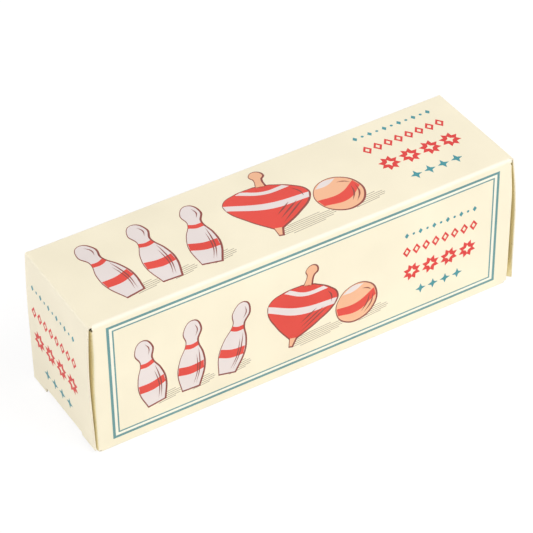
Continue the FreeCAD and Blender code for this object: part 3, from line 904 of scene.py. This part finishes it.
def drill(piece, start, towards, radius, depth):
    """Drills a round hole of a radius and depth, in millimetres, into a finished shape."""
    bpy.ops.object.select_all(action="DESELECT")
    turn = Vector(towards).to_track_quat("Z", "Y").to_euler()
    centre = Vector(start) + Vector(towards) * (depth - DRILL_OUTSIDE) / 2 * MM
    length = (depth + DRILL_OUTSIDE) * MM
    bpy.ops.mesh.primitive_cylinder_add(
        vertices=DRILL_SIDES, radius=radius * MM, depth=length, location=centre, rotation=turn
    )
    bit = bpy.context.object
    bpy.context.view_layer.objects.active = piece
    apply_modifier(piece, "BOOLEAN", "hole", object=bit, solver="EXACT")
    bpy.data.objects.remove(bit)


def turned_lacquer(name, colour):
    """Gloss lacquer on turned wood: the lathe's fine rings and the grain show faintly through it."""
    finish = new_finish(name, Roughness=0.3, Coat_Weight=0.6, Coat_Roughness=0.12, Specular_IOR_Level=0.5)
    rings = grain_noise(finish, 1400.0, stretch=(0.01, 0.01, 1))
    cloud = grain_noise(finish, 110.0)
    even = tint(finish, spread(finish, cloud, *NOISE_MIDDLE), dimmed(colour, 0.9), linear(*colour))
    lined = spread(finish, rings, 0.55, 0.75, 0.0, 0.3)
    wire(finish, Base_Color=tint(finish, lined, even, dimmed(colour, 0.78)))
    wire(finish, Roughness=spread(finish, cloud, *NOISE_MIDDLE, 0.26, 0.36))
    raise_grain(finish, rings, 0.05 * MM, 0.5)
    return finish


red_lacquer = turned_lacquer("red_lacquer", (206, 44, 36))
bowl_corners = [
    (0, 0, 0),
    (CUP_RADIUS, 0, CUP_FOOT),
    (CUP_RADIUS, BOWL_TALL - BRIM_TALL, BRIM_NECK),
    (BRIM_RADIUS, BOWL_TALL - BRIM_TALL, BRIM_EDGE),
    (BRIM_RADIUS, BOWL_TALL, BRIM_EDGE),
    (NOZZLE_HOLE, BOWL_TALL, 0.3),
    (NOZZLE_HOLE, BOWL_TALL - NOZZLE_SEAT, 0),
    (AIR_WAY, BOWL_TALL - NOZZLE_SEAT, 0),
    (AIR_WAY, (STEM_Z - BOWL_LOW.z) / MM, 0),
    (0, (STEM_Z - BOWL_LOW.z) / MM, 0),
]
bowl = turn_piece("pipe_bowl_turned", bowl_corners, (BOWL_X, 0, BOWL_LOW.z), (0, 0, 1))
close(bowl, red_lacquer)
posts = [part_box(f"ring_post_{n}") for n in (1, 2, 3)]
for low, high in posts:
    mouth = (low + high) / 2
    mouth.z = BOWL_HIGH.z
    drill(bowl, mouth, (0, 0, -1), POST_HOLE, (BOWL_HIGH.z - low.z) / MM + HOLE_SLACK)
mouth = Vector((BOWL_X - CUP_RADIUS * MM, 0, STEM_Z))
drill(bowl, mouth, (1, 0, 0), STEM_RADIUS + HOLE_SLACK, (STEM_HIGH.x - mouth.x) / MM + HOLE_SLACK)
drill(bowl, mouth, (1, 0, 0), AIR_WAY, CUP_RADIUS)
choose(bowl)
bpy.ops.object.shade_smooth_by_angle(angle=REAL_EDGE)
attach(bowl, "pipe")
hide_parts("pipe_bowl")

# The seat ring is turned like the bowl and dipped in the same red. Its upper inner edge is cut to a bevel
# for the ball to rest on, and three blind holes in its underside take the posts.
RING_LOW, RING_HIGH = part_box("seat_ring")
RING_HOLE, RING_EDGE, RING_SEAT = 11.5, 2.2, 1.5
ring_radius = (RING_HIGH.x - RING_LOW.x) / 2 / MM
ring_tall = (RING_HIGH.z - RING_LOW.z) / MM
ring_corners = [
    (RING_HOLE, ring_tall / 2, 0),
    (RING_HOLE, 0, 0.4),
    (ring_radius, 0, RING_EDGE),
    (ring_radius, ring_tall, RING_EDGE),
    (RING_HOLE + RING_SEAT, ring_tall, 0.25),
    (RING_HOLE, ring_tall - RING_SEAT, 0.25),
    (RING_HOLE, ring_tall / 2, 0),
]
ring = turn_piece("seat_ring_turned", ring_corners, (BOWL_X, 0, RING_LOW.z), (0, 0, 1))
close(ring, red_lacquer)
for low, high in posts:
    mouth = (low + high) / 2
    mouth.z = RING_LOW.z
    drill(ring, mouth, (0, 0, 1), POST_HOLE, (high.z - RING_LOW.z) / MM + HOLE_SLACK)
choose(ring)
bpy.ops.object.shade_smooth_by_angle(angle=REAL_EDGE)
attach(ring, "pipe")
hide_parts("seat_ring")


# The stem is a beech rod, bored from end to end and glued into the cup. Its last part is turned slimmer for
# the mouth and rounded at its end. It is rubbed with wax and not painted.
def waxed_beech(name, along):
    """Bare beech under wax: pale grain drawn out along one axis, with the short dark flecks of beech."""
    stretch = [1.0, 1.0, 1.0]
    stretch["xyz".index(along)] = 0.045
    finish = new_finish(name, Roughness=0.5, Specular_IOR_Level=0.4, Coat_Weight=0.12, Coat_Roughness=0.35)
    grain = grain_noise(finish, 900.0, stretch=stretch, detail=4.0)
    bands = grain_noise(finish, 190.0, stretch=stretch, detail=2.0)
    flecks = grain_noise(finish, 2600.0, stretch=stretch, detail=1.0)
    even = tint(finish, spread(finish, bands, *NOISE_MIDDLE), linear(220, 178, 128), linear(238, 203, 158))
    grained = tint(finish, spread(finish, grain, 0.42, 0.72, 0.0, 0.5), even, linear(202, 154, 104))
    flecked = spread(finish, flecks, 0.66, 0.74, 0.0, 0.6)
    wire(finish, Base_Color=tint(finish, flecked, grained, linear(158, 108, 68)))
    wire(finish, Roughness=spread(finish, grain, *NOISE_MIDDLE, 0.44, 0.58))
    raise_grain(finish, grain, 0.06 * MM, 0.6)
    return finish


MOUTH_RADIUS, MOUTH_LENGTH, MOUTH_ROUND = 4.2, 14.0, 2.0
stem_long = (STEM_HIGH.x - STEM_LOW.x) / MM
stem_corners = [
    (AIR_WAY, stem_long / 2, 0),
    (AIR_WAY, stem_long, 0),
    (STEM_RADIUS, stem_long, 0.3),
    (STEM_RADIUS, MOUTH_LENGTH, 4.0),
    (MOUTH_RADIUS, 0, MOUTH_ROUND),
    (AIR_WAY, 0, 0.35),
    (AIR_WAY, stem_long / 2, 0),
]
stem = turn_piece("pipe_stem_turned", stem_corners, (STEM_LOW.x, 0, STEM_Z), (1, 0, 0))
close(stem, waxed_beech("waxed_beech_along_stem", "x"))
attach(stem, "pipe")
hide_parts("pipe_stem")

# The nozzle is a small beech peg, bored to a fine jet and glued in the middle of the brim. The three posts
# are beech dowels, glued upright between brim and ring.
NOZZLE_LOW, NOZZLE_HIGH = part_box("air_nozzle")
upright_beech = waxed_beech("waxed_beech_upright", "z")
nozzle_radius = (NOZZLE_HIGH.x - NOZZLE_LOW.x) / 2 / MM
nozzle_tall = (NOZZLE_HIGH.z - NOZZLE_LOW.z) / MM
collar = (BOWL_HIGH.z - NOZZLE_LOW.z) / MM
NOZZLE_BORE, NOZZLE_TENON, NOZZLE_TIP = 1.2, 2.5, 2.3
nozzle_corners = [
    (NOZZLE_BORE, collar, 0),
    (NOZZLE_BORE, 0, 0),
    (NOZZLE_TENON, 0, 0.2),
    (NOZZLE_TENON, collar, 0),
    (nozzle_radius, collar, 0.25),
    (nozzle_radius, nozzle_tall - (nozzle_radius - NOZZLE_TIP), 0.6),
    (NOZZLE_TIP, nozzle_tall, 0.3),
    (NOZZLE_BORE, nozzle_tall, 0.15),
    (NOZZLE_BORE, collar, 0),
]
nozzle = turn_piece("air_nozzle_turned", nozzle_corners, (BOWL_X, 0, NOZZLE_LOW.z), (0, 0, 1))
close(nozzle, upright_beech)
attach(nozzle, "pipe")
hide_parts("air_nozzle")
for n in (1, 2, 3):
    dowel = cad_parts[f"ring_post_{n}"]
    dowel.data.materials.clear()
    dowel.data.materials.append(upright_beech)

# The two balls are moulded of foam beads: light, white and matt, with the beads pressed into a shallow
# cobble. They lie loose in the carton.
BEAD, BEAD_GROOVE, BEAD_CONTRAST = 2.6 * MM, 0.16 * MM, 3.2
foam = new_finish("pressed_foam", Roughness=0.78, Specular_IOR_Level=0.35, Sheen_Weight=0.15)
bead_tone = grain_noise(foam, 260.0, detail=2.0)
pores = grain_noise(foam, 3200.0)
foam_white = tint(foam, spread(foam, bead_tone, *NOISE_MIDDLE), linear(231, 230, 226), linear(245, 245, 243))
pored = spread(foam, pores, 0.62, 0.8, 0.0, 0.4)
wire(foam, Base_Color=tint(foam, pored, foam_white, linear(206, 205, 202)))
raise_grain(foam, pores, 0.05 * MM, 0.6)
beads = bpy.data.textures.new("foam_beads", "VORONOI")
beads.noise_scale = BEAD
beads.weight_1, beads.weight_2 = -1.0, 1.0
beads.noise_intensity = BEAD_CONTRAST
for name in ("ball_a", "ball_b"):
    low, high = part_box(name)
    bpy.ops.object.select_all(action="DESELECT")
    bpy.ops.mesh.primitive_ico_sphere_add(subdivisions=6, radius=(high.x - low.x) / 2)
    ball = bpy.context.object
    ball.name = ball.data.name = f"{name}_beaded"
    edit(ball)
    bpy.ops.mesh.select_all(action="SELECT")
    bpy.ops.transform.translate(value=(low + high) / 2)
    bpy.ops.object.mode_set(mode="OBJECT")
    apply_modifier(
        ball, "DISPLACE", "beads", texture=beads, texture_coords="LOCAL", strength=BEAD_GROOVE, mid_level=1.0
    )
    bpy.ops.object.shade_smooth()
    ball.data.materials.append(foam)
    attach(ball, name)
    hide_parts(name)

# The floor is a plain white table under soft studio light. It shows white to the camera, and keeps a faint
# shadow where the carton stands. The lamps light the card at about the level that its colours are
# written in.
FLOOR_WHITE, FLOOR_SIZE, FLOOR_BELOW = linear(236, 236, 236), 6, 0.02 * MM
FLOOR_GLOW, GLOW_UNSEEN, GLOW_SEEN = 1.12, 0.05, 0.76
SOFT_LIGHT, SOFT_LIGHT_COLOUR = 0.43, (1.0, 0.965, 0.945, 1)
floor_finish = new_finish("white_table", Roughness=0.8, Specular_IOR_Level=0.1, Base_Color=FLOOR_WHITE)
tree = floor_finish.node_tree
path = add_node(tree, "LightPath")
glow = add_node(tree, "Emission", {"Color": (1, 1, 1, 1), "Strength": FLOOR_GLOW})
share = add_node(tree, "MapRange", {"To Min": GLOW_UNSEEN, "To Max": GLOW_SEEN})
blend = add_node(tree, "MixShader")
tree.links.new(path.outputs["Is Camera Ray"], share.inputs["Value"])
tree.links.new(share.outputs["Result"], blend.inputs["Fac"])
tree.links.new(tree.nodes["Principled BSDF"].outputs["BSDF"], blend.inputs[1])
tree.links.new(glow.outputs["Emission"], blend.inputs[2])
tree.links.new(blend.outputs["Shader"], tree.nodes["Material Output"].inputs["Surface"])
bpy.ops.object.select_all(action="DESELECT")
bpy.ops.mesh.primitive_plane_add(size=FLOOR_SIZE)
floor = bpy.context.object
floor.name = "floor"
floor.data.transform(Matrix.Translation((0, 0, -FLOOR_BELOW)))
floor.data.materials.append(floor_finish)

world = bpy.context.scene.world or bpy.data.worlds.new("studio")
bpy.context.scene.world = world
world.use_nodes = True
tree = world.node_tree
tree.nodes.clear()
path = add_node(tree, "LightPath")
seen = add_node(tree, "Math", operation="MAXIMUM")
seen_through = add_node(tree, "Math", operation="MAXIMUM")
soft_light = add_node(tree, "Background", {"Color": SOFT_LIGHT_COLOUR, "Strength": SOFT_LIGHT})
white = add_node(tree, "Background", {"Color": (1, 1, 1, 1), "Strength": 1.0})
blend = add_node(tree, "MixShader")
output = add_node(tree, "OutputWorld")
tree.links.new(path.outputs["Is Camera Ray"], seen.inputs[0])
tree.links.new(path.outputs["Is Glossy Ray"], seen.inputs[1])
tree.links.new(seen.outputs["Value"], seen_through.inputs[0])
tree.links.new(path.outputs["Is Transmission Ray"], seen_through.inputs[1])
tree.links.new(seen_through.outputs["Value"], blend.inputs["Fac"])
tree.links.new(soft_light.outputs["Background"], blend.inputs[1])
tree.links.new(white.outputs["Background"], blend.inputs[2])
tree.links.new(blend.outputs["Shader"], output.inputs["Surface"])


def soft_lamp(name, direction, distance, size, power, colour):
    """A square soft box that looks at the carton from a direction."""
    data = bpy.data.lights.new(name, "AREA")
    data.size = size
    data.energy = power
    data.color = colour
    lamp = bpy.data.objects.new(name, data)
    towards = Vector(direction).normalized()
    lamp.location = Vector((0, 0, TOP_Z / 2)) + towards * distance
    lamp.rotation_euler = towards.to_track_quat("Z", "Y").to_euler()
    bpy.context.scene.collection.objects.link(lamp)


soft_lamp("key_lamp", (0.42, -0.55, 0.77), 1.1, 0.8, 8.05, (1.0, 0.98, 0.955))
soft_lamp("fill_lamp", (-0.5, -0.8, 0.33), 1.15, 0.8, 1.6, (1.0, 0.985, 0.965))
soft_lamp("left_lamp", (-0.86, 0.42, 0.14), 1.2, 0.9, 7.2, (0.97, 0.96, 1.0))

bpy.context.scene.view_settings.view_transform = "Standard"
